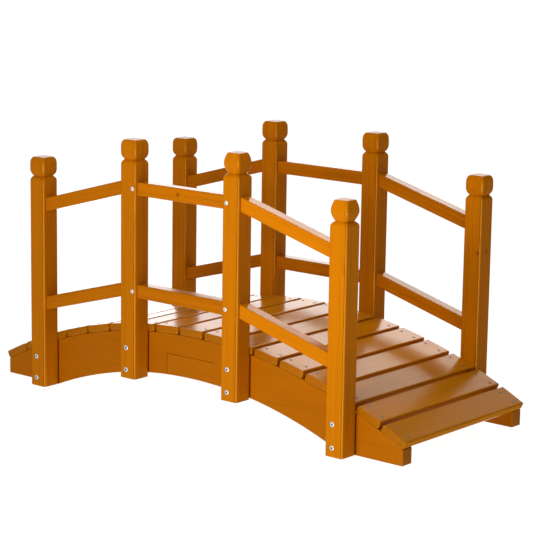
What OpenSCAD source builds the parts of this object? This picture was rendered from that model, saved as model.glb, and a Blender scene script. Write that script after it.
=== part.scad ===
// Arched garden footbridge of varnished softwood: two sawn arch stringers spliced
// at mid-span, a deck of cross boards, and a rail of four posts down each side.
// The bridge spans along X. The origin is on the ground under the middle of the span.
// The near side is -Y, the left end is -X.

/* [Span] */
// Length of each arched stringer, end to end
span_len = 1500; // [1100:10:2000]
// Width over the outer faces of the two stringers, which is also the board length
deck_w = 565; // [400:5:800]
// Height of the walking surface at mid-span
deck_top = 252; // [200:1:320]
// Height of the walking surface above the stringer ends
end_top = 70; // [60:1:110]

/* [Stringers] */
// Thickness of a stringer across the bridge
stringer_t = 42; // [25:1:60]
// Height of the arched underside at mid-span
arch_rise = 109; // [40:1:130]
// Half the length of the half-lap that joins the two halves of a stringer
lap_half = 92; // [50:1:150]

/* [Deck boards] */
// Width of one board
board_w = 82; // [60:1:120]
// Thickness of one board
board_t = 22; // [16:1:30]
// Smallest gap left between two boards
board_gap_min = 6; // [3:0.5:12]
// Radius on the long edges of a board
board_r = 4; // [1:0.5:6]

/* [Posts] */
// Side of the square post
post_w = 58; // [38:1:75]
// Length of every post, head included
post_len = 694; // [520:1:900]
// Distance from a stringer end to the middle of the end post
end_post_in = 185; // [120:1:260]
// Distance between the middles of the two inner posts
mid_bay = 386; // [260:1:520]
// How far an inner post hangs below the arched edge beside it
post_drop = 4; // [0:0.5:15]
// Radius on the corners of the post
post_r = 5; // [1:0.5:8]

/* [Post heads] */
// Height of the shaped head above its groove
head_h = 57; // [36:1:80]
// Depth of the groove under a barrel head, from the face of the post
barrel_neck = 7; // [3:0.5:10]
// Depth of the groove under a tapered head, from the face of the post
taper_neck = 9; // [3:0.5:12]
// Height of the rounded shoulder below the groove
shoulder_h = 14; // [6:1:25]
// Height of the widest part of the head above the groove
belly_h = 26; // [15:1:35]
// How far the belly of a barrel head swells past the face of the post
barrel_out = 0.9; // [0:0.1:3]
// How far the top of a barrel head draws in on each side of its belly
barrel_in = 7; // [3:0.5:10]
// How far the top of a tapered head draws in on each side
taper_in = 7.2; // [5:0.2:14]

/* [Rails] */
// Height of a rail
rail_h = 39; // [28:1:60]
// Thickness of a rail
rail_t = 38; // [22:1:45]
// Radius on the long edges of a rail
rail_r = 3.5; // [1:0.5:6]
// From the top of a post down to the top of the handrail beside it
hand_drop = 119; // [90:1:200]
// From the top of a post down to the top of the lower rail beside it
low_drop = 416; // [300:1:480]

/* [Hidden] */
$fn = 96;
half_span = span_len / 2;
half_deck = deck_w / 2;
// The walking surface is an arc through its mid-span height and its end height.
deck_rise = deck_top - end_top;
deck_rad = (half_span * half_span + deck_rise * deck_rise) / (2 * deck_rise);
arc_z = deck_top - deck_rad;
// The boards lie on the stringers' top edge, one board thickness further in.
seat_rad = deck_rad - board_t;
// The end board's lower outer edge is flush with the stringer end.
edge_rad = sqrt(seat_rad * seat_rad + board_w * board_w / 4);
edge_deg = asin(half_span / edge_rad);
edge_arc = 2 * edge_deg * PI / 180 * seat_rad;
boards = floor((edge_arc + board_gap_min) / (board_w + board_gap_min));
pitch_deg = 2 * (edge_deg - atan(board_w / 2 / seat_rad)) / (boards - 1);
// Posts stand against the outer faces of the stringers.
end_post_x = half_span - end_post_in;
mid_post_x = mid_bay / 2;
post_y = half_deck + post_w / 2;
// The arched underside springs from the inner sides of the end posts.
spring_x = end_post_x - post_w / 2;
arch_rad = (spring_x * spring_x + arch_rise * arch_rise) / (2 * arch_rise);
// Height of the arched underside at a distance x from mid-span.
function arch_z(x) = arch_rise - arch_rad + sqrt(arch_rad * arch_rad - x * x);
mid_post_z = arch_z(mid_post_x + post_w / 2) - post_drop;
mid_top = mid_post_z + post_len;
// The splice seam runs halfway up the stringer at mid-span.
seam_z = (arch_rise + deck_top - board_t) / 2;
neck_z = post_len - head_h;
slope_run = end_post_x - mid_post_x - post_w;
slope_drop = mid_top - post_len;
slope_deg = atan(slope_drop / slope_run);
big = 4 * span_len;

SIDES = ["near", "far"];
SPANS = ["left", "middle", "right"];
function two(i) = str(i < 10 ? "0" : "", i);
function board_name(i) = str("deck_board_", two(i));
function post_name(side, i) = str(side, "_post_", i);
function hand_name(side, bay) = str(side, "_handrail_", bay);
function low_name(side, bay) = str(side, "_lower_rail_", bay);
function half_name(side, end) = str(side, "_stringer_", end);

// Flat outline with quarter-round corners, centred.
module round_rect(w, h, r) {
    square([w - 2 * r, h], center = true);
    square([w, h - 2 * r], center = true);
    for (x = [-1, 1], y = [-1, 1])
        translate([x * (w / 2 - r), y * (h / 2 - r)]) circle(r = r, $fn = 32);
}

// Outline of a whole stringer: flat feet, arched underside, arched top.
module stringer_outline() {
    difference() {
        intersection() {
            translate([-half_span, 0]) square([span_len, deck_top]);
            translate([0, arc_z]) circle(r = seat_rad, $fn = 720);
        }
        translate([0, arch_rise - arch_rad]) circle(r = arch_rad, $fn = 720);
    }
}

// Region that the left half of a stringer keeps: the upper tongue of the lap is its own.
module left_region() {
    translate([-big, -10]) square([big - lap_half, deck_top + 20]);
    translate([-lap_half - 1, seam_z]) square([2 * lap_half + 1, deck_top]);
}

// One half of a stringer, standing on the ground with its outer face at y = +-half_deck.
module stringer_half(side, end) {
    y0 = side == "near" ? -half_deck + stringer_t : half_deck;
    translate([0, y0, 0]) rotate([90, 0, 0])
        linear_extrude(stringer_t)
            if (end == "left") intersection() {
                stringer_outline();
                left_region();
            }
            else difference() {
                stringer_outline();
                left_region();
            }
}

// One cross board lying flat on the two top edges, tangent to their arc.
module deck_board(i) {
    a = (i - (boards + 1) / 2) * pitch_deg;
    translate([0, half_deck, arc_z]) rotate([0, a, 0])
        translate([0, 0, seat_rad + board_t / 2]) rotate([90, 0, 0])
            linear_extrude(deck_w) round_rect(board_w, board_t, board_r);
}

// A head's make: swell of the belly, groove depth, fullness below the belly, draw-in and
// fullness at the top.
BARREL = [barrel_out, barrel_neck, 3.2, barrel_in, 4.5];
TAPERED = [0, taper_neck, 1.6, taper_in, 1.9];

// Half-width of a post at height z: shaft, shoulder, groove, belly, top.
function post_half(z, make) = let (h = post_w / 2, u = z - neck_z, belly = h + make[0])
    u <= -shoulder_h ? h :
    u <= 0 ? h - make[1] * pow(1 + u / shoulder_h, 2.2) :
    u <= belly_h ? belly - (make[0] + make[1]) * pow(1 - u / belly_h, make[2]) :
    belly - make[3] * pow((u - belly_h) / (head_h - belly_h), make[4]);

function head_levels() = concat(
    [for (k = [0 : 5]) neck_z - shoulder_h * (1 - k / 5)],
    [for (k = [1 : 6]) neck_z + belly_h * k / 6],
    [for (k = [1 : 8]) neck_z + belly_h + (head_h - belly_h) * k / 8]
);

// Side view of a post, cut back by c on both sides for the corner cuts.
module post_outline(make, k, c) {
    up = [for (z = head_levels()) [k * post_half(z, make) - c, z]];
    down = [for (i = [len(up) - 1 : -1 : 0]) [-up[i][0], up[i][1]]];
    polygon(concat([[k * post_w / 2 - c, 0]], up, down, [[-(k * post_w / 2 - c), 0]]));
}

// The square length a post is shaped from; the part above the groove may be thicker.
module post_stock(head_w) {
    linear_extrude(neck_z) round_rect(post_w, post_w, post_r);
    translate([0, 0, neck_z]) linear_extrude(head_h) round_rect(head_w, head_w, post_r);
}

// A square post with softened corners and a head shaped alike on all four sides.
module post_solid(make) {
    corner = post_r * (sqrt(2) - 1);
    intersection() {
        post_stock(post_w + 2 * make[0]);
        for_each_way(0) post_outline(make, 1, 0);
        for_each_way(90) post_outline(make, 1, 0);
        for_each_way(45) post_outline(make, sqrt(2), corner);
        for_each_way(-45) post_outline(make, sqrt(2), corner);
    }
}

module for_each_way(a) {
    rotate([0, 0, a]) translate([0, post_w, 0]) rotate([90, 0, 0])
        linear_extrude(2 * post_w) children();
}

// Posts 1 to 4 run from left to right; the two right-hand near posts have tapered heads.
module post(side, i) {
    x = (i < 3 ? -1 : 1) * (i == 1 || i == 4 ? end_post_x : mid_post_x);
    y = (side == "near" ? -1 : 1) * post_y;
    z = i == 1 || i == 4 ? 0 : mid_post_z;
    translate([x, y, z]) post_solid(side == "near" && i > 2 ? TAPERED : BARREL);
}

// A rail of one bay. The middle bay is level and the end bays slope down to the end posts.
module rail(side, bay, drop) {
    y = (side == "near" ? -1 : 1) * post_y;
    top = mid_top - drop;
    translate([0, y, top])
        if (bay == "middle")
            translate([-mid_post_x + post_w / 2, 0, -rail_h / 2]) rotate([90, 0, 90])
                linear_extrude(mid_bay - post_w) round_rect(rail_t, rail_h, rail_r);
        else mirror([bay == "left" ? 1 : 0, 0, 0])
            translate([mid_post_x + post_w / 2, 0, 0]) intersection() {
                translate([0, -rail_t, -slope_drop - 2 * rail_h])
                    cube([slope_run, 2 * rail_t, slope_drop + 4 * rail_h]);
                rotate([0, slope_deg, 0]) translate([-rail_h, 0, -rail_h / 2]) rotate([90, 0, 90])
                    linear_extrude(slope_run / cos(slope_deg) + 2 * rail_h)
                        round_rect(rail_t, rail_h, rail_r);
            }
}

for (s = SIDES) {
    for (e = ["left", "right"])
        color([0.69, 0.37, 0.05]) stringer_half(s, e);
    for (i = [1 : 4])
        color(s == "near" ? [0.85, 0.51, 0.08] : [0.66, 0.34, 0.03]) post(s, i);
    for (b = SPANS) {
        color([0.80, 0.45, 0.07]) rail(s, b, hand_drop);
        color([0.72, 0.38, 0.05]) rail(s, b, low_drop);
    }
}
for (i = [1 : boards])
    color([0.63, 0.38, 0.17]) deck_board(i);
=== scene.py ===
import math
import random

import bmesh
import bpy
from mathutils import Matrix, Vector


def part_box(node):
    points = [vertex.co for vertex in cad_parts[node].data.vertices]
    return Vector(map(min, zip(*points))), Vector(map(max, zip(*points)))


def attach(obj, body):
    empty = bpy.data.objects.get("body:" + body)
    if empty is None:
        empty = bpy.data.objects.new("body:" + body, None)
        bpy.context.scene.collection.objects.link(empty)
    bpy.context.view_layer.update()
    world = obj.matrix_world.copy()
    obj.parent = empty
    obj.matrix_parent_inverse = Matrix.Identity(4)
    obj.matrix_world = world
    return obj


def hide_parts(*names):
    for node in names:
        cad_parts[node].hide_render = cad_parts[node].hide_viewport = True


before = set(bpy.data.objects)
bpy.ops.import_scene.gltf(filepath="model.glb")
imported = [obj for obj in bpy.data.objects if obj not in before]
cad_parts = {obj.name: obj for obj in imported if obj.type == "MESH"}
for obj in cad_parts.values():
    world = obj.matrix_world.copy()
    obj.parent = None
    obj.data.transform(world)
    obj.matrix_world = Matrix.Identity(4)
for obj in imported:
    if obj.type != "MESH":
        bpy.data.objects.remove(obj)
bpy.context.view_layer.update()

SIDES = ("near", "far")
BAYS = ("left", "middle", "right")
RAILS = ("handrail", "lower_rail")


# ---------------------------------------------------------------- sizes read from the frame

def node_points(name):
    return [v.co.copy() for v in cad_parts[name].data.vertices]


def centre(name):
    low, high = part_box(name)
    return (low + high) / 2


crown_low, crown_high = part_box("deck_board_09")
HALF_DECK = crown_high.y
BOARD_T = crown_high.z - crown_low.z
BOARD_W = crown_high.x - crown_low.x
SEAT_TOP = crown_low.z

right_half = node_points("near_stringer_right")
HALF_SPAN = max(p.x for p in right_half)
LAP = -min(p.x for p in right_half)
SEAM_Z = max(p.z for p in right_half if abs(p.x + LAP) < 1e-4)
END_TOP = max(p.z for p in right_half if abs(p.x - HALF_SPAN) < 1e-4)
SPRING_X = min(p.x for p in right_half if p.z < 1e-4)
SOFFIT_AT_LAP = min(p.z for p in right_half if abs(p.x + LAP) < 1e-4)

# How far the splice stands open at the tips of its tongues.
JOINT_GAP = 0.0009
seat_drop = SEAT_TOP - END_TOP
SEAT_R = (HALF_SPAN ** 2 + seat_drop ** 2) / (2 * seat_drop)
ARC_Z = SEAT_TOP - SEAT_R
SOFFIT_Z = -(SPRING_X ** 2 - LAP ** 2 - SOFFIT_AT_LAP ** 2) / (2 * SOFFIT_AT_LAP)
SOFFIT_R = math.hypot(SPRING_X, SOFFIT_Z)

# A tapered head is no wider than its post, so that post's box gives the width of the shaft.
post_low, post_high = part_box("near_post_4")
POST_W = post_high.x - post_low.x
BOARDS = sum(1 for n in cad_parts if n.startswith("deck_board_"))

# Radii on the long edges.
BOARD_EDGE_R, RAIL_EDGE_R, STRINGER_EDGE_R, TONGUE_EDGE_R = 0.004, 0.0035, 0.0018, 0.0009
SHAFT_EDGE_R, HEAD_EDGE_GAIN = 0.005, 0.002


def seat_z(x):
    return ARC_Z + math.sqrt(SEAT_R ** 2 - x * x)


def soffit_z(x):
    return 0.0 if abs(x) >= SPRING_X else SOFFIT_Z + math.sqrt(SOFFIT_R ** 2 - x * x)


def board_tilt(i):
    mid = centre(f"deck_board_{i:02d}")
    return math.atan2(mid.x, mid.z - ARC_Z)


# ---------------------------------------------------------------- shaping timber

def rounded_ring(a, b, r, steps=4, lip=0.0012):
    """Outline of a bar's section: half sizes a and b, corner radius r, with a lip point by each corner.

    At the second and the fourth corner the first lip point lies past the start of the corner, so the
    outline folds back on itself there by the width of the lip.
    """
    r = min(r, 0.8 * a, 0.8 * b)
    lip = min(lip, 0.5 * (min(a, b) - r))
    ring = []
    for start, su, sv in ((0, 1, 1), (90, -1, 1), (180, -1, -1), (270, 1, -1)):
        cu, cv = su * (a - r), sv * (b - r)
        first, last = math.radians(start), math.radians(start + 90)
        ring.append((cu + r * math.cos(first) - lip * math.sin(first),
                     cv + r * math.sin(first) - lip * math.cos(first)))
        for k in range(steps + 1):
            t = first + (last - first) * k / steps
            ring.append((cu + r * math.cos(t), cv + r * math.sin(t)))
        ring.append((cu + r * math.cos(last) - lip * math.sin(last),
                     cv + r * math.sin(last) + lip * math.cos(last)))
    return ring


def loft(name, rings):
    """A closed solid through a list of rings of points, its two ends closed with flat caps."""
    mesh = bpy.data.meshes.new(name)
    count = len(rings[0])
    points = [p for ring in rings for p in ring]
    faces = [tuple(reversed(range(count)))]
    for i in range(len(rings) - 1):
        for k in range(count):
            n = (k + 1) % count
            faces.append((i * count + k, i * count + n, (i + 1) * count + n, (i + 1) * count + k))
    faces.append(tuple((len(rings) - 1) * count + k for k in range(count)))
    mesh.from_pydata([tuple(p) for p in points], [], faces)
    tidy_solid(mesh)
    return mesh


def tidy_solid(mesh):
    work = bmesh.new()
    work.from_mesh(mesh)
    bmesh.ops.remove_doubles(work, verts=work.verts, dist=1e-6)
    bmesh.ops.dissolve_degenerate(work, edges=work.edges, dist=1e-7)
    bmesh.ops.recalc_face_normals(work, faces=work.faces)
    work.to_mesh(mesh)
    work.free()


def eased_stations(low, high, ease, lip=0.0015):
    """Places along a bar and how far its section is drawn in there, so that both ends are eased."""
    first = [(low, ease), (low + 0.3 * ease, 0.3 * ease), (low + ease, 0.0), (low + ease + lip, 0.0)]
    return first + [(high + low - at, drawn) for at, drawn in reversed(first)]


HEAD_H, SHOULDER_H, BELLY_H = 0.057, 0.014, 0.026
# A head's make: swell of the belly, depth of the groove, fullness below the belly, draw-in and
# fullness at the top.
BARREL = (0.0009, 0.007, 3.2, 0.007, 4.5)
TAPERED = (0.0, 0.009, 1.6, 0.0072, 1.9)


def post_half_width(u, make):
    """Half the width of a post at a height u above the groove under its head."""
    swell, groove, low_full, top_in, top_full = make
    half = POST_W / 2
    if u <= -SHOULDER_H:
        return half
    if u <= 0:
        return half - groove * (1 + u / SHOULDER_H) ** 2.2
    if u <= BELLY_H:
        return half + swell - (swell + groove) * (1 - u / BELLY_H) ** low_full
    return half + swell - top_in * min(1, (u - BELLY_H) / (HEAD_H - BELLY_H)) ** top_full


def post_mesh(name, node, make):
    low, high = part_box(node)
    mid = (low + high) / 2
    neck_z = high.z - HEAD_H
    rings = []

    def section(z, inset=0.0):
        u = z - neck_z
        half = post_half_width(u, make) - inset
        r = SHAFT_EDGE_R + HEAD_EDGE_GAIN * min(1, max(0, 1 + u / SHOULDER_H))
        rings.append([(mid.x + a, mid.y + b, z) for a, b in rounded_ring(half, half, r)])

    for up, inset in ((0, 0.0015), (0.0005, 0.0005), (0.0015, 0), (0.003, 0)):
        section(low.z + up, inset)
    levels = [-0.017, -0.0155] + [-SHOULDER_H * (1 - k / 8) for k in range(8)] + [-0.0006, 0, 0.0006]
    levels += [BELLY_H * k / 10 for k in range(1, 11)]
    levels += [BELLY_H + (HEAD_H - 0.0012 - BELLY_H) * k / 16 for k in range(1, 17)]
    for u in levels:
        section(neck_z + u)
    for down, inset in ((0.0007, 0.00015), (0.0003, 0.0005), (0, 0.0012), (0, 0.004)):
        section(high.z - down, inset)
    return loft(name, rings)


def board_mesh(name, i):
    turn = board_tilt(i)
    rings = []
    for s, ease in eased_stations(-HALF_DECK, HALF_DECK, 0.0012):
        ring = rounded_ring(BOARD_W / 2 - ease, BOARD_T / 2 - ease, BOARD_EDGE_R)
        rings.append([board_place(turn, u, s, v) for u, v in ring])
    return loft(name, rings)


def board_place(turn, u, s, v):
    """A point of a board from its own measures: u across it, s along it, v above its mid-plane."""
    out = SEAT_R + BOARD_T / 2 + v
    return Vector((u * math.cos(turn) + out * math.sin(turn), s,
                   ARC_Z + out * math.cos(turn) - u * math.sin(turn)))


def rail_mesh(name, node, bay):
    low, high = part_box(node)
    mid = (low + high) / 2
    level_low, level_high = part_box(node.replace(bay, "middle"))
    rail_h = level_high.z - level_low.z
    run, drop = high.x - low.x, 0.0
    if bay != "middle":
        # The end cuts are upright: the box is the drop plus the sloping rail's upright height.
        slope = 0.25
        for _ in range(20):
            drop = (high.z - low.z) - rail_h / math.cos(slope)
            slope = math.atan2(drop, run)
        rail_h = rail_h / math.cos(slope)
    fall = drop / run * (1 if bay == "right" else -1)
    rings = []
    for x, ease in eased_stations(low.x, high.x, 0.0008):
        ring = rounded_ring((high.y - low.y) / 2 - ease, rail_h / 2 - ease, RAIL_EDGE_R)
        z = mid.z - fall * (x - mid.x)
        rings.append([(x, mid.y + u, z + v) for u, v in ring])
    return loft(name, rings)


STATION_GAP, LAP_STATION_GAP = 0.010, 0.008


def stringer_mesh(name, node, end):
    low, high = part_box(node)
    mid_y, half_t = (low.y + high.y) / 2, (high.y - low.y) / 2
    ease = 0.0015
    sign = 1 if end == "right" else -1
    # Stations run from the bank end to the end of the lap, x taken outwards.
    outer = [HALF_SPAN, HALF_SPAN - 0.0005, HALF_SPAN - ease, HALF_SPAN - 2 * ease, SPRING_X, LAP + ease]
    bank_draw = {HALF_SPAN: ease, HALF_SPAN - 0.0005: 0.3 * ease}
    x = HALF_SPAN - STATION_GAP
    while x > LAP + 0.004:
        outer.append(x)
        x -= STATION_GAP
    outer = sorted(set(outer), reverse=True)
    rings = []

    def section(x, bottom, top, ease_by):
        a, b = half_t - ease_by, (top - bottom) / 2 - ease_by
        z = (top + bottom) / 2
        r = TONGUE_EDGE_R if x < LAP - 0.001 else STRINGER_EDGE_R
        rings.append([(sign * x, mid_y + u, z + v) for u, v in rounded_ring(a, b, r, steps=3)])

    for x in outer:
        section(x, soffit_z(x), seat_z(x), bank_draw.get(x, 0.0))
    # At the lap the left half keeps the upper tongue and the right half the lower one.
    tip = JOINT_GAP - LAP
    inner = [LAP, LAP - 0.0005, LAP - ease, tip + 2 * ease, tip + ease, tip + 0.0005, tip]
    inner += [LAP - LAP_STATION_GAP * k for k in range(1, int(2 * LAP / LAP_STATION_GAP))]
    inner = sorted(set(x for x in inner if x >= tip), reverse=True)
    tip_draw = {tip: ease, tip + 0.0005: 0.3 * ease}
    section(LAP, soffit_z(LAP), seat_z(LAP), 0.0)
    for x in inner:
        bottom = SEAM_Z + JOINT_GAP / 3 if end == "left" else soffit_z(x)
        top = seat_z(x) if end == "left" else SEAM_Z - JOINT_GAP / 3
        section(x, bottom, top, tip_draw.get(x, 0.0))
    return loft(name, rings)


# ---------------------------------------------------------------- shader sums

class Term:
    """One shader value; ordinary sums on it add Math nodes."""

    def __init__(self, recipe, socket):
        self.recipe, self.socket = recipe, socket

    def __add__(self, other): return self.recipe.maths("ADD", self, other)
    def __radd__(self, other): return self.recipe.maths("ADD", other, self)
    def __sub__(self, other): return self.recipe.maths("SUBTRACT", self, other)
    def __rsub__(self, other): return self.recipe.maths("SUBTRACT", other, self)
    def __mul__(self, other): return self.recipe.maths("MULTIPLY", self, other)
    def __rmul__(self, other): return self.recipe.maths("MULTIPLY", other, self)
    def __truediv__(self, other): return self.recipe.maths("DIVIDE", self, other)
    def __rtruediv__(self, other): return self.recipe.maths("DIVIDE", other, self)


class Recipe:
    """The node tree of a material or of the world: one method for its sums, one for every other node."""

    def __init__(self, owner):
        self.owner = owner
        owner.use_nodes = True
        self.tree = owner.node_tree
        self.tree.nodes.clear()

    def fill(self, socket, value):
        if isinstance(value, Term):
            self.tree.links.new(value.socket, socket)
        elif value is not None:
            socket.default_value = value

    def node(self, kind, settings=None, **values):
        made = self.tree.nodes.new(kind)
        for key, value in (settings or {}).items():
            if key == "stops":
                ramp = made.color_ramp
                while len(ramp.elements) > 1:
                    ramp.elements.remove(ramp.elements[-1])
                for n, (place, colour) in enumerate(value):
                    stop = ramp.elements[0] if n == 0 else ramp.elements.new(place)
                    stop.position, stop.color = place, colour
            else:
                setattr(made, key, value)
        for key, value in values.items():
            place = int(key[1:]) if key[0] == "_" else key.replace("_", " ")
            self.fill(made.inputs[place], value)
        return made

    def out(self, made, place=0):
        return Term(self, made.outputs[place])

    def maths(self, operation, *values):
        made = self.node("ShaderNodeMath", {"operation": operation})
        for n, value in enumerate(values):
            self.fill(made.inputs[n], value)
        return self.out(made)

    def vector(self, operation, *values, place=0):
        made = self.node("ShaderNodeVectorMath", {"operation": operation})
        for n, value in enumerate(values):
            self.fill(made.inputs[n], value)
        return self.out(made, place)

    def mix(self, factor, a, b):
        made = self.node("ShaderNodeMix", {"data_type": "RGBA"})
        self.fill(made.inputs[0], factor)
        self.fill(made.inputs[6], a)
        self.fill(made.inputs[7], b)
        return self.out(made, 2)

    def ramp(self, value, *stops):
        made = self.node("ShaderNodeValToRGB", {"stops": stops})
        self.fill(made.inputs[0], value)
        return self.out(made)

    def step(self, value, low, high):
        """0 below low, 1 above high, smooth between."""
        made = self.node("ShaderNodeMapRange", {"interpolation_type": "SMOOTHSTEP"})
        for n, v in enumerate((value, low, high, 0.0, 1.0)):
            self.fill(made.inputs[n], v)
        return self.out(made)

    def noise(self, where, scale, detail=2.0, rough=0.5, place=0):
        """Soft noise: place 0 gives one value, 1 gives three."""
        made = self.node("ShaderNodeTexNoise", {"noise_dimensions": "3D"}, Vector=where, Scale=scale,
                         Detail=detail, Roughness=rough)
        return self.out(made, place)

    def measure(self, name, output="Fac"):
        """A measure that the piece carries as an attribute."""
        made = self.node("ShaderNodeAttribute", {"attribute_name": name})
        return Term(self, made.outputs[output])

    def space(self):
        return Term(self, self.node("ShaderNodeTexCoord").outputs["Object"])

    def finish(self, shader, end="ShaderNodeOutputMaterial"):
        self.tree.links.new(shader.outputs[0], self.node(end).inputs[0])
        return self.owner


def rgb(r, g, b):
    return (r, g, b, 1.0)


VARNISH_IOR, VARNISH_TINT = 1.34, rgb(1.0, 0.62, 0.12)
GLOSS = 0.17
END_ARC_GAP = 0.0085
# The second brown is painted shade for the crevices beside the posts.
KNOT_BROWN, CORNER_SHADE_BROWN = rgb(0.05, 0.014, 0.003), rgb(0.03, 0.008, 0.001)


def with_knots(w, colour, deep, knots):
    """Darkens a colour at knots, each (place, radius), with a halo of deeper stain."""
    space = w.space()
    wobble = w.noise(space, 70.0, 2.0)
    dark, halo = None, None
    for (x, y, z), size in knots:
        away = w.vector("DISTANCE", space, (x, y, z), place=1) + (wobble - 0.5) * size * 0.9
        core = 1 - w.step(away, size * 0.35, size)
        rim = 1 - w.step(away, size * 0.9, size * 2.6)
        dark = core if dark is None else w.maths("MAXIMUM", dark, core)
        halo = rim if halo is None else w.maths("MAXIMUM", halo, rim)
    return w.mix(dark * 0.85, w.mix(halo * 0.45, colour, deep), KNOT_BROWN)


def with_painted_corner_shade(w, colour, corners):
    """Paints shade on a stringer's outer face: dark lines across the span beside each post, for the shadow
    in the crevice there.
    """
    split = w.node("ShaderNodeSeparateXYZ", None, _0=w.space())
    outer = w.step(w.maths("ABSOLUTE", w.out(split, 1)), HALF_DECK - 0.004, HALF_DECK - 0.002)
    line = None
    for x in corners:
        near = 1 - w.step(w.maths("ABSOLUTE", w.out(split, 0) - x), 0.0008, 0.0026)
        line = near if line is None else w.maths("MAXIMUM", line, near)
    return w.mix(outer * line * 0.9, colour, CORNER_SHADE_BROWN)


def varnished_pine(name, pale, deep, ring_gap=0.0036, contrast=1.0, end_dark=0.05, knots=(), corners=()):
    """Softwood under an amber varnish, on each piece's own grain: x along it, y and z from the pith."""
    w = Recipe(bpy.data.materials.new(name))
    where = w.measure("grain", "Vector")
    # Each piece's depth of colour: its own tone, with painted light and shade set per piece on the posts and
    # rails.
    tone, sawn = w.measure("tone"), w.measure("sawn_end")
    # Growth rings wander slowly along the grain.
    slow = w.vector("MULTIPLY", where, (2.6, 16.0, 16.0))
    wander = w.noise(slow, 1.0, 2.0, 0.55, place=1)
    shift = w.vector("MULTIPLY", w.vector("SUBTRACT", wander, (0.5, 0.5, 0.5)), (0.0, 0.022, 0.022))
    bent = w.vector("ADD", where, shift)
    flat = w.vector("MULTIPLY", bent, (0.0, 1.0, 1.0))
    radius = w.vector("LENGTH", flat, place=1)
    # A growth ring is pale early wood that ends in a thin dark late line.
    phase = w.maths("FRACT", radius / ring_gap + w.noise(slow, 0.7, 1.0) * 1.5)
    late = w.step(phase, 0.45, 0.93) * (1 - w.step(phase, 0.93, 1.0))
    fibre = w.noise(w.vector("MULTIPLY", where, (11.0, 900.0, 900.0)), 1.0, 3.0, 0.6)
    streak = w.noise(w.vector("MULTIPLY", where, (1.6, 95.0, 95.0)), 1.0, 3.0, 0.6)
    cloud = w.noise(w.vector("MULTIPLY", where, (3.0, 14.0, 14.0)), 1.0, 2.0, 0.5)
    # Pores and rays show as short dark flecks on sawn ends.
    fleck = w.noise(w.vector("MULTIPLY", where, (60.0, 520.0, 520.0)), 1.0, 2.0, 0.7)
    mark = late * 0.30 + w.step(streak, 0.42, 0.75) * 0.24 + (fibre - 0.5) * 0.34
    stain = mark * contrast + (cloud - 0.5) * 0.26 + (tone - 0.5) * 0.9 + 0.18
    # Sawn ends show the growth rings as dark arcs.
    arcs = w.maths("FRACT", radius / END_ARC_GAP + w.noise(slow, 0.7, 1.0) * 1.5)
    arcs = w.step(arcs, 0.35, 0.85) * (1 - w.step(arcs, 0.85, 1.0))
    stain = stain + sawn * (arcs * 0.62 + (fleck - 0.5) * 0.3 - late * 0.3 + end_dark)
    middle = tuple(0.55 * p + 0.45 * d for p, d in zip(pale, deep))
    colour = w.ramp(stain, (0.0, pale), (0.45, middle), (1.0, deep))
    if knots:
        colour = with_knots(w, colour, deep, knots)
    # Painted shade: dark lines on the stringers beside each post, for the shadow in the crevice.
    if corners:
        colour = with_painted_corner_shade(w, colour, corners)
    # The varnish dips with the grain and ripples a little from the brush.
    height = late * -0.5 + fibre * 0.5 + streak * 0.25
    bump = w.node("ShaderNodeBump", None, Strength=0.10, Distance=0.0006, Height=height)
    ripple = w.noise(w.vector("MULTIPLY", where, (9.0, 34.0, 34.0)), 1.0, 2.0)
    bump_two = w.node("ShaderNodeBump", None, Strength=0.22, Distance=0.0012, Height=ripple)
    w.tree.links.new(bump.outputs[0], bump_two.inputs["Normal"])
    rough = GLOSS + (cloud - 0.5) * 0.08 + late * 0.03 + sawn * 0.18
    shader = w.node("ShaderNodeBsdfPrincipled", None, Base_Color=colour, Roughness=rough,
                    IOR=VARNISH_IOR, Specular_Tint=VARNISH_TINT)
    w.tree.links.new(bump_two.outputs[0], shader.inputs["Normal"])
    return w.finish(shader)


def plated(name, tint, rough, metallic):
    """Plated steel, with painted shade in the driver recess."""
    w = Recipe(bpy.data.materials.new(name))
    hollow = w.measure("hollow")
    spot = w.noise(w.space(), 900.0, 2.0)
    colour = w.ramp(spot, (0.3, rgb(*(0.82 * c for c in tint))), (0.7, rgb(*tint)))
    # Painted shade: the driver recess is near black and not metallic, for the shadow inside it.
    colour = w.mix(hollow, colour, rgb(0.035, 0.030, 0.022))
    bump = w.node("ShaderNodeBump", None, Strength=0.15, Distance=0.0002, Height=spot)
    shader = w.node("ShaderNodeBsdfPrincipled", None, Base_Color=colour, Metallic=metallic * (1 - hollow),
                    Roughness=rough + (spot - 0.5) * 0.15)
    w.tree.links.new(bump.outputs[0], shader.inputs["Normal"])
    return w.finish(shader)


def pale_floor(name):
    """A floor that glows by itself, so the light on it is even."""
    w = Recipe(bpy.data.materials.new(name))
    soft = w.noise(w.space(), 3.0, 2.0)
    colour = w.ramp(soft, (0.0, rgb(0.045, 0.045, 0.045)), (1.0, rgb(0.055, 0.055, 0.055)))
    shader = w.node("ShaderNodeBsdfPrincipled", None, Base_Color=colour, Roughness=0.9, IOR=1.2,
                    Emission_Color=rgb(1, 1, 1), Emission_Strength=0.99)
    w.owner.cycles.emission_sampling = "NONE"
    return w.finish(shader)


def post_edges(node):
    """The two places along the span where a post's back corners touch the stringer."""
    mid, reach = centre(node), POST_W / 2 + 0.0006
    return mid.x - reach, mid.x + reach


# The painted shade lines on the stringers go at these places, beside each post.
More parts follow.
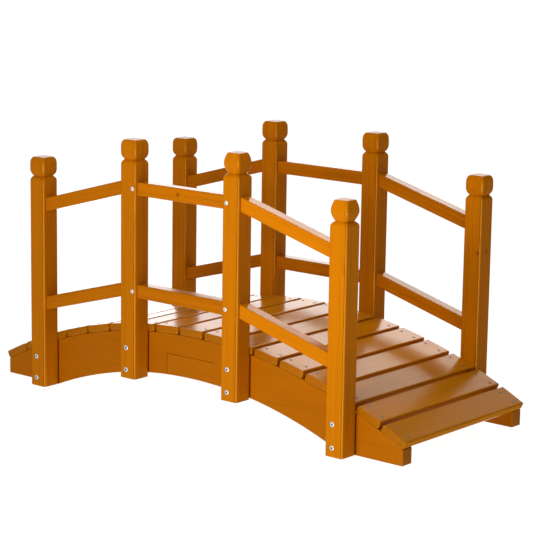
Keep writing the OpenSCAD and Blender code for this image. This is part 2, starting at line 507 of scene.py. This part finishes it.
POST_EDGES = [x for i in range(1, 5) for x in post_edges(f"near_post_{i}")]
POST_TINT = (rgb(0.60, 0.181, 0.0006), rgb(0.33, 0.084, 0.0003))
RAIL_TINT = (rgb(0.62, 0.183, 0.0006), rgb(0.26, 0.059, 0.0003))
POST_PINE = varnished_pine("post_pine", *POST_TINT)
RAIL_PINE = varnished_pine("rail_pine", *RAIL_TINT)
BOARD_PINE = varnished_pine("board_pine", rgb(0.63, 0.216, 0.0020), rgb(0.35, 0.102, 0.0010),
                            contrast=0.8, end_dark=0.55)
STRINGER_PINE = varnished_pine("stringer_pine", rgb(0.47, 0.132, 0.0009), rgb(0.27, 0.068, 0.0005),
                               ring_gap=0.0085, contrast=0.75, end_dark=-0.22, corners=POST_EDGES)
ZINC = plated("bright_zinc", (0.82, 0.83, 0.78), 0.35, 0.3)
NICKEL = plated("satin_nickel", (0.85, 0.85, 0.82), 0.30, 0.15)
SCREW_STEEL = plated("screw_steel", (0.20, 0.20, 0.13), 0.50, 0.0)


# ---------------------------------------------------------------- marking and placing the pieces

chance = random.Random(17)


def mark_grain(mesh, along, across, out, origin, pith, lean, tone):
    """Gives a piece its grain measures in metres: distance along the grain and place about the pith."""
    start = 10 * chance.random()
    grain, facing = [], []
    for v in mesh.vertices:
        d = v.co - origin
        s = d.dot(along)
        grain += [s + start, d.dot(across) + pith[0] + lean * s, d.dot(out) + pith[1]]
    for f in mesh.polygons:
        facing.append(1.0 if abs(f.normal.dot(along)) > 0.8 and f.area > 1e-5 else 0.0)
    mesh.attributes.new("grain", "FLOAT_VECTOR", "POINT").data.foreach_set("vector", grain)
    mesh.attributes.new("tone", "FLOAT", "POINT").data.foreach_set("value", [tone] * len(mesh.vertices))
    mesh.attributes.new("sawn_end", "FLOAT", "FACE").data.foreach_set("value", facing)


def shade(mesh, degrees=32):
    mesh.shade_smooth()
    mesh.set_sharp_from_angle(angle=math.radians(degrees))


def place(name, mesh, node, slot, material):
    piece = bpy.data.objects.new(name, mesh)
    bpy.context.scene.collection.objects.link(piece)
    mesh.materials.append(material)
    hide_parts(node)
    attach(piece, "root")
    return piece


def sink_holes(mesh, holes):
    """Cuts counterbores, each (place, facing, radius, depth), out of a solid."""
    work = bmesh.new()
    for at, facing, radius, depth in holes:
        rod = bmesh.ops.create_cone(work, cap_ends=True, segments=32, radius1=radius, radius2=radius,
                                    depth=2 * depth)
        turn = Vector((0, 0, 1)).rotation_difference(facing).to_matrix().to_4x4()
        bmesh.ops.transform(work, matrix=Matrix.Translation(at) @ turn, verts=rod["verts"])
    rods = bpy.data.meshes.new("counterbores")
    work.to_mesh(rods)
    work.free()
    body, tool = bpy.data.objects.new("being_bored", mesh), bpy.data.objects.new("bits", rods)
    bpy.context.scene.collection.objects.link(body)
    bpy.context.scene.collection.objects.link(tool)
    cut = body.modifiers.new("bore", "BOOLEAN")
    cut.operation, cut.solver, cut.object = "DIFFERENCE", "MANIFOLD", tool
    bpy.context.view_layer.update()
    done = bpy.data.meshes.new_from_object(body.evaluated_get(bpy.context.evaluated_depsgraph_get()))
    done.materials.clear()
    done.polygons.foreach_set("material_index", [0] * len(done.polygons))
    for gone in (body, tool):
        old = gone.data
        bpy.data.objects.remove(gone)
        bpy.data.meshes.remove(old)
    return done


X, Y, Z = Vector((1, 0, 0)), Vector((0, 1, 0)), Vector((0, 0, 1))
bolts, rail_screws, deck_screws = [], [], []


def knot_at(node, x, y, z):
    """A place on a piece from shares of its box, 0 low and 1 high."""
    low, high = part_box(node)
    return (low.x + x * (high.x - low.x), low.y + y * (high.y - low.y), low.z + z * (high.z - low.z))


KNOT_R = 0.0045


def knotty(name, tint, node, *shares):
    """Pine with a knot at each place on a piece, given as shares of its box."""
    return varnished_pine(name, *tint, knots=[(knot_at(node, *share), KNOT_R) for share in shares])


KNOTTY = {
    "far_post_4": knotty("knotty_post_pine", POST_TINT, "far_post_4",
                         (0.84, 0.01, 0.682), (0.98, 0.52, 0.684)),
    "near_post_1": knotty("edge_knot_pine", POST_TINT, "near_post_1", (0.05, 0.02, 0.555)),
    "near_handrail_middle": knotty("knotty_rail_pine", RAIL_TINT, "near_handrail_middle", (0.47, 0.0, 0.52)),
}
# How deep the colour is on each piece, 0 pale and 1 deep: partly the wood's own tone and partly painted
# light and shade, the far pieces deeper where they stand in shade and the near posts paler towards the right
# where the light is stronger.
POST_TONE_AND_SHADE = {"near": (0.62, 0.55, 0.42, 0.34), "far": (0.66, 0.70, 0.72, 0.60)}
RAIL_TONE_AND_SHADE = {("near", "left"): 0.62, ("near", "middle"): 0.55, ("near", "right"): 0.25,
             ("far", "left"): 0.72, ("far", "middle"): 0.72, ("far", "right"): 0.75}
STRINGER_TONE = {"left": 0.5, "right": 0.45}

# Bolts: heights up the post, place beside its middle line, depth of the head and of its counterbore.
BOLT_UP, BOLT_ASIDE, BOLT_SUNK = (0.025, 0.090), -0.007, 0.0021
BOLT_BORE_R, BOLT_BORE_DEEP = 0.0082, 0.0022
# Screws through the inner posts into the middle rails.
SCREW_ASIDE, SCREW_SUNK, SCREW_BORE_R, SCREW_BORE_DEEP = 0.0165, 0.0026, 0.0070, 0.0027
# Deck screws: across the board from its middle, and in from its end, set by hand to within the jog.
DECK_SCREW_ACROSS, DECK_SCREW_IN, DECK_SCREW_JOG = 0.025, 0.032, 0.003


def either_side(low, high):
    return chance.uniform(low, high) * chance.choice((-1, 1))


def make_post(side, i):
    node = f"{side}_post_{i}"
    face = Vector((0, -1 if side == "near" else 1, 0))
    low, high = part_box(node)
    mid = (low + high) / 2
    front = mid.y + face.y * POST_W / 2
    holes = []
    for up in BOLT_UP:
        at = Vector((mid.x + BOLT_ASIDE, front, low.z + up))
        bolts.append((at - face * BOLT_SUNK, face))
        holes.append((at, face, BOLT_BORE_R, BOLT_BORE_DEEP))
    if i in (2, 3):
        inner = mid.x + (SCREW_ASIDE if i == 2 else -SCREW_ASIDE)
        for rail in RAILS:
            at = Vector((inner, front, centre(f"{side}_{rail}_middle").z))
            rail_screws.append((at - face * SCREW_SUNK, face))
            holes.append((at, face, SCREW_BORE_R, SCREW_BORE_DEEP))
    make = TAPERED if side == "near" and i > 2 else BARREL
    mesh = sink_holes(post_mesh(node + "_shaped", node, make), holes)
    pith = (either_side(0.045, 0.07), either_side(0.045, 0.07))
    mark_grain(mesh, Z, X, Y, mid, pith, chance.uniform(-0.012, 0.012), POST_TONE_AND_SHADE[side][i - 1])
    shade(mesh)
    place(node + "_shaped", mesh, node, "post_wood", KNOTTY.get(node, POST_PINE))


def make_rail(side, rail, bay):
    node = f"{side}_{rail}_{bay}"
    mesh = rail_mesh(node + "_eased", node, bay)
    low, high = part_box(node)
    slope = 0 if bay == "middle" else math.atan2(high.z - low.z - 0.04, high.x - low.x)
    slope *= 1 if bay == "right" else -1
    along = Vector((math.cos(slope), 0, -math.sin(slope)))
    pith = (chance.uniform(-0.03, 0.03), either_side(0.03, 0.06))
    mark_grain(mesh, along, Y, along.cross(Y), (low + high) / 2, pith, chance.uniform(-0.02, 0.02),
               RAIL_TONE_AND_SHADE[side, bay] + chance.uniform(-0.05, 0.05))
    shade(mesh)
    place(node + "_eased", mesh, node, "rail_wood", KNOTTY.get(node, RAIL_PINE))


def make_stringer(side, end):
    node = f"{side}_stringer_{end}"
    mesh = stringer_mesh(node + "_sawn", node, end)
    pith = (chance.uniform(-0.03, 0.03), chance.uniform(0.13, 0.18))
    mark_grain(mesh, X, Y, Z, centre(node), pith, chance.uniform(0.02, 0.05), STRINGER_TONE[end])
    shade(mesh)
    place(node + "_sawn", mesh, node, "stringer_wood", STRINGER_PINE)


def make_board(i):
    node = f"deck_board_{i:02d}"
    turn = board_tilt(i)
    mesh = board_mesh(node + "_planed", i)
    across = Vector((math.cos(turn), 0, -math.sin(turn)))
    out = Vector((math.sin(turn), 0, math.cos(turn)))
    pith = (either_side(0.05, 0.09), -chance.uniform(0.03, 0.06))
    mark_grain(mesh, Y, across, out, board_place(turn, 0, 0, 0), pith, chance.uniform(-0.05, 0.05),
               chance.uniform(0.36, 0.64))
    shade(mesh)
    place(node + "_planed", mesh, node, "board_wood", BOARD_PINE)
    for u in (-DECK_SCREW_ACROSS, DECK_SCREW_ACROSS):
        for s in (-1, 1):
            jog = [chance.uniform(-DECK_SCREW_JOG, DECK_SCREW_JOG) for _ in range(2)]
            at = board_place(turn, u + jog[0], s * (HALF_DECK - DECK_SCREW_IN) + jog[1], BOARD_T / 2)
            deck_screws.append((at, out))


for side in SIDES:
    for i in range(1, 5):
        make_post(side, i)
    for bay in BAYS:
        for rail in RAILS:
            make_rail(side, rail, bay)
    for end in ("left", "right"):
        make_stringer(side, end)
for i in range(1, BOARDS + 1):
    make_board(i)


# ---------------------------------------------------------------- fasteners

def hexagon(t, r):
    return r * math.cos(math.pi / 6) / math.cos((t % (math.pi / 3)) - math.pi / 6)


def cross(t, arm, half):
    c, s = max(abs(math.cos(t)), 1e-6), max(abs(math.sin(t)), 1e-6)
    return max(min(arm / c, half / s), min(arm / s, half / c))


def turned_head(name, profile, recess, depth, around=48):
    """A screw head turned from (radius, height) pairs, with a driver recess of outline recess(angle)."""
    angles = [2 * math.pi * k / around for k in range(around)]
    rings = [[(r * math.cos(a), r * math.sin(a), h) for a in angles] for r, h in profile]
    rim, top = profile[-1]
    for h, share in ((top, 1.0), (top - depth * 0.15, 1.0), (top - depth, 0.9)):
        rings.append([(recess(a) * share * math.cos(a), recess(a) * share * math.sin(a), h) for a in angles])
    mesh = loft(name, rings)
    # Faces inside the driver recess, which the plated material paints dark as shade.
    inside = [1.0 if math.hypot(f.center.x, f.center.y) < 0.97 * rim and f.center.z < top - 1e-5 else 0.0
              for f in mesh.polygons]
    mesh.attributes.new("hollow", "FLOAT", "FACE").data.foreach_set("value", inside)
    shade(mesh, 40)
    return mesh


def fastener_tree(material):
    """Puts one head on every marked point, facing out of the wood and turned at random."""
    tree = bpy.data.node_groups.new("driven_fasteners", "GeometryNodeTree")
    face = tree.interface
    face.new_socket("Points", in_out="INPUT", socket_type="NodeSocketGeometry")
    head = face.new_socket("Head", in_out="INPUT", socket_type="NodeSocketObject")
    size = face.new_socket("Head scale", in_out="INPUT", socket_type="NodeSocketFloat")
    seed = face.new_socket("Turn seed", in_out="INPUT", socket_type="NodeSocketInt")
    face.new_socket("Heads", in_out="OUTPUT", socket_type="NodeSocketGeometry")
    add, link = tree.nodes.new, tree.links.new
    given, made = add("NodeGroupInput"), add("NodeGroupOutput")
    facing = add("GeometryNodeInputNamedAttribute")
    facing.data_type = "FLOAT_VECTOR"
    facing.inputs["Name"].default_value = "facing"
    aim = add("FunctionNodeAlignRotationToVector")
    aim.axis = "Z"
    turn = add("FunctionNodeRandomValue")
    turn.data_type = "FLOAT_VECTOR"
    turn.inputs[0].default_value = (0, 0, 0)
    turn.inputs[1].default_value = (0, 0, 2 * math.pi)
    spin = add("FunctionNodeRotateRotation")
    spin.rotation_space = "LOCAL"
    shape = add("GeometryNodeObjectInfo")
    copies = add("GeometryNodeInstanceOnPoints")
    solid = add("GeometryNodeRealizeInstances")
    finish = add("GeometryNodeSetMaterial")
    finish.inputs["Material"].default_value = material
    link(facing.outputs[0], aim.inputs["Vector"])
    link(given.outputs["Turn seed"], turn.inputs["Seed"])
    link(aim.outputs[0], spin.inputs["Rotation"])
    link(turn.outputs[0], spin.inputs["Rotate By"])
    link(given.outputs["Head"], shape.inputs[0])
    link(given.outputs["Points"], copies.inputs["Points"])
    link(shape.outputs["Geometry"], copies.inputs["Instance"])
    link(spin.outputs[0], copies.inputs["Rotation"])
    link(given.outputs["Head scale"], copies.inputs["Scale"])
    link(copies.outputs[0], solid.inputs[0])
    link(solid.outputs[0], finish.inputs[0])
    link(finish.outputs[0], made.inputs[0])
    return tree, {"head": head.identifier, "size": size.identifier, "seed": seed.identifier}


def drive_fasteners(name, spots, head_mesh, material, seed):
    """Drives one head at each spot, a (place, facing) pair, and makes them all one piece."""
    head = bpy.data.objects.new(name + "_pattern", head_mesh)
    bpy.context.scene.collection.objects.link(head)
    points = bpy.data.meshes.new(name + "_spots")
    points.from_pydata([tuple(at) for at, _ in spots], [], [])
    facing = points.attributes.new("facing", "FLOAT_VECTOR", "POINT")
    for n, (_, out) in enumerate(spots):
        facing.data[n].vector = out
    holder = bpy.data.objects.new(name + "_holder", points)
    bpy.context.scene.collection.objects.link(holder)
    tree, names = fastener_tree(material)
    rule = holder.modifiers.new("fasteners", "NODES")
    rule.node_group = tree
    rule[names["head"]], rule[names["size"]], rule[names["seed"]] = head, 1.0, seed
    bpy.context.view_layer.update()
    made = bpy.data.meshes.new_from_object(holder.evaluated_get(bpy.context.evaluated_depsgraph_get()))
    holder.modifiers.remove(rule)
    for gone in (holder, head):
        old = gone.data
        bpy.data.objects.remove(gone)
        bpy.data.meshes.remove(old)
    made.name = name
    piece = bpy.data.objects.new(name, made)
    bpy.context.scene.collection.objects.link(piece)
    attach(piece, "root")
    return piece


BOLT_PROFILE = [(0.0066, 0), (0.0074, 0.0002), (0.0075, 0.0009), (0.0073, 0.0014), (0.0066, 0.0018),
                (0.0055, 0.0020), (0.0042, 0.0020)]
PAN_PROFILE = [(0.0058, 0), (0.0063, 0.0003), (0.0064, 0.0009), (0.0060, 0.0015), (0.0050, 0.0021),
               (0.0038, 0.0024), (0.0026, 0.0025)]
FLAT_PROFILE = [(0.0036, -0.0006), (0.0041, 0.0002), (0.0040, 0.0005), (0.0030, 0.0006)]
BOLT = turned_head("bolt_head", BOLT_PROFILE, lambda a: hexagon(a, 0.0030), 0.0016)
PAN = turned_head("pan_head", PAN_PROFILE, lambda a: cross(a, 0.0020, 0.0005), 0.0010)
COUNTERSUNK = turned_head("countersunk_head", FLAT_PROFILE, lambda a: cross(a, 0.0020, 0.0006), 0.0009)
drive_fasteners("post_bolts", bolts, BOLT, ZINC, 3)
drive_fasteners("rail_screws", rail_screws, PAN, NICKEL, 5)
drive_fasteners("deck_screws", deck_screws, COUNTERSUNK, SCREW_STEEL, 9)


# ---------------------------------------------------------------- floor, light and camera

FLOOR_REACH, FLOOR_Z = 60, -0.0008
floor_mesh = bpy.data.meshes.new("studio_floor")
floor_mesh.from_pydata([(x * FLOOR_REACH, y * FLOOR_REACH, FLOOR_Z)
                        for x, y in ((-1, -1), (1, -1), (1, 1), (-1, 1))], [], [(0, 1, 2, 3)])
floor = bpy.data.objects.new("studio_floor", floor_mesh)
floor_mesh.materials.append(pale_floor("studio_floor"))
bpy.context.scene.collection.objects.link(floor)
floor.visible_glossy = False


def studio_sky():
    """A dim studio: a lit backdrop beyond the bridge that ends a third of the way up, and a low pale
    board in front, below the horizon."""
    world = bpy.data.worlds.new("studio")
    bpy.context.scene.world = world
    w = Recipe(world)
    way = w.out(w.node("ShaderNodeTexCoord"), 0)
    split = w.node("ShaderNodeSeparateXYZ", None, _0=way)
    height = w.out(split, 2)
    beyond = w.step(w.vector("DOT_PRODUCT", way, (-0.656, 0.755, 0.0), place=1), 0.3, 0.5)
    aside = w.vector("DOT_PRODUCT", way, (0.755, 0.656, 0.0), place=1)
    wide = w.step(aside, -0.40, -0.27) * (1 - w.step(aside, 0.34, 0.56))
    below_top = 1 - w.step(height, 0.51, 0.60)
    screen = beyond * wide * below_top * (2.3 + 1.1 * w.step(height, 0.20, 0.46))
    before = w.vector("DOT_PRODUCT", way, (0.643, -0.766, 0.0), place=1)
    board = w.step(before, 0.48, 0.78) * (1 - w.step(height, -0.15, -0.01))
    ceiling = w.step(height, 0.72, 0.90)
    glow = w.node("ShaderNodeBackground", None, Color=rgb(1, 1, 1),
                  Strength=0.03 + screen + board * 8 + ceiling * 0.2)
    w.finish(glow, "ShaderNodeOutputWorld")


def soft_box(name, at, aim, width, height, power, spread=180):
    light = bpy.data.lights.new(name, "AREA")
    light.shape, light.size, light.size_y, light.energy = "RECTANGLE", width, height, power
    light.spread = math.radians(spread)
    lamp = bpy.data.objects.new(name, light)
    lamp.location = at
    lamp.rotation_euler = (Vector(aim) - Vector(at)).to_track_quat("-Z", "Y").to_euler()
    bpy.context.scene.collection.objects.link(lamp)


studio_sky()
soft_box("front_box", (0.45, -2.7, 1.20), (0.85, 0, 0.3), 0.9, 0.8, 22.8, 120)
soft_box("overhead_box", (0.6, -0.3, 4.0), (0.2, 0, 0.2), 2.4, 2.0, 46)

EYE_AT, EYE_LENS = (3.7802, -4.4865, 1.5331), 137.88
# Degrees: turned about the upright, tipped down from level, and rolled about the line of sight.
EYE_PAN, EYE_DIP, EYE_ROLL = 39.8135, 10.9725, 0.8426

eye = bpy.data.cameras.new("eye")
eye.sensor_width = 36
eye.lens = EYE_LENS
camera = bpy.data.objects.new("eye", eye)
camera.location = EYE_AT
camera.rotation_euler = (Matrix.Rotation(math.radians(EYE_PAN), 3, "Z")
                         @ Matrix.Rotation(math.radians(90 - EYE_DIP), 3, "X")
                         @ Matrix.Rotation(math.radians(EYE_ROLL), 3, "Z")).to_euler()
eye.clip_end = 200
bpy.context.scene.collection.objects.link(camera)
bpy.context.scene.camera = camera
bpy.context.scene.view_settings.view_transform = "Standard"
